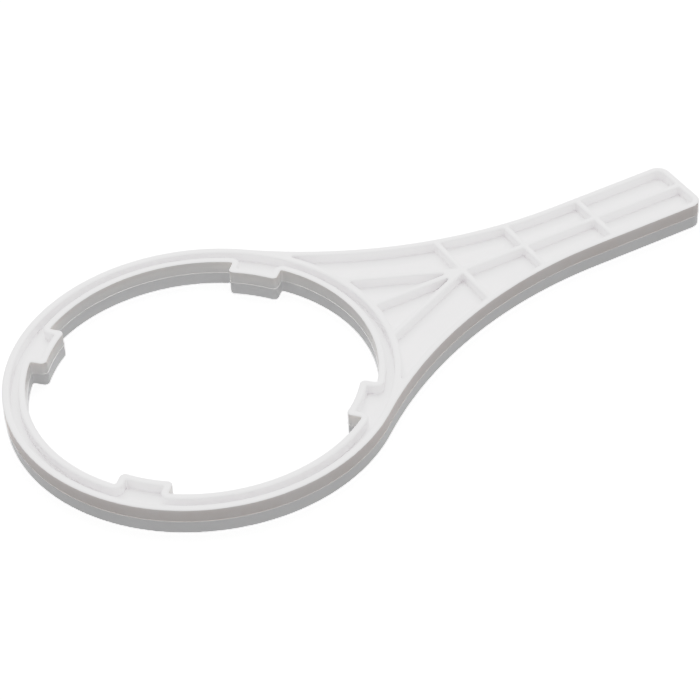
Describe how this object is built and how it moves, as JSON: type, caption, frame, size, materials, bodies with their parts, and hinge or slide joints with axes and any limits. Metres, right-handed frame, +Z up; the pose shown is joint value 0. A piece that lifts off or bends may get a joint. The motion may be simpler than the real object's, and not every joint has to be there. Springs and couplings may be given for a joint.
{
  "type": "filter housing wrench",
  "caption": "Rigid plastic ring wrench for the screw-on bowl of a water filter housing, with inward lugs in the ring and a flat, ribbed handle.",
  "frame": {"origin": "on the ring's axis, in the plane of the bottom faces", "axes": "+X along the handle, away from the ring; +Z up, along the ring's axis; +Y to the left when looking along the handle"},
  "size_m": [0.2174, 0.1112, 0.0084],
  "materials": {
    "white_plastic": "satin"
  },
  "bodies": {
    "root": {"ring_outer_wall": "white_plastic", "ring_web": "white_plastic", "bore_wall_near": "white_plastic", "bore_wall_left": "white_plastic", "bore_wall_far": "white_plastic", "bore_wall_right": "white_plastic", "lug_near_left": "white_plastic", "lug_far_left": "white_plastic", "lug_far_right": "white_plastic", "lug_near_right": "white_plastic", "side_wall_left": "white_plastic", "side_wall_right": "white_plastic", "end_wall": "white_plastic", "rib_hub": "white_plastic", "centre_rib_gusset": "white_plastic", "centre_rib_handle": "white_plastic", "fan_rib_left": "white_plastic", "fan_rib_right": "white_plastic", "cross_rib_1": "white_plastic", "cross_rib_2": "white_plastic", "cross_rib_3": "white_plastic", "gusset_web": "white_plastic", "handle_web": "white_plastic"}
  },
  "joints": []
}
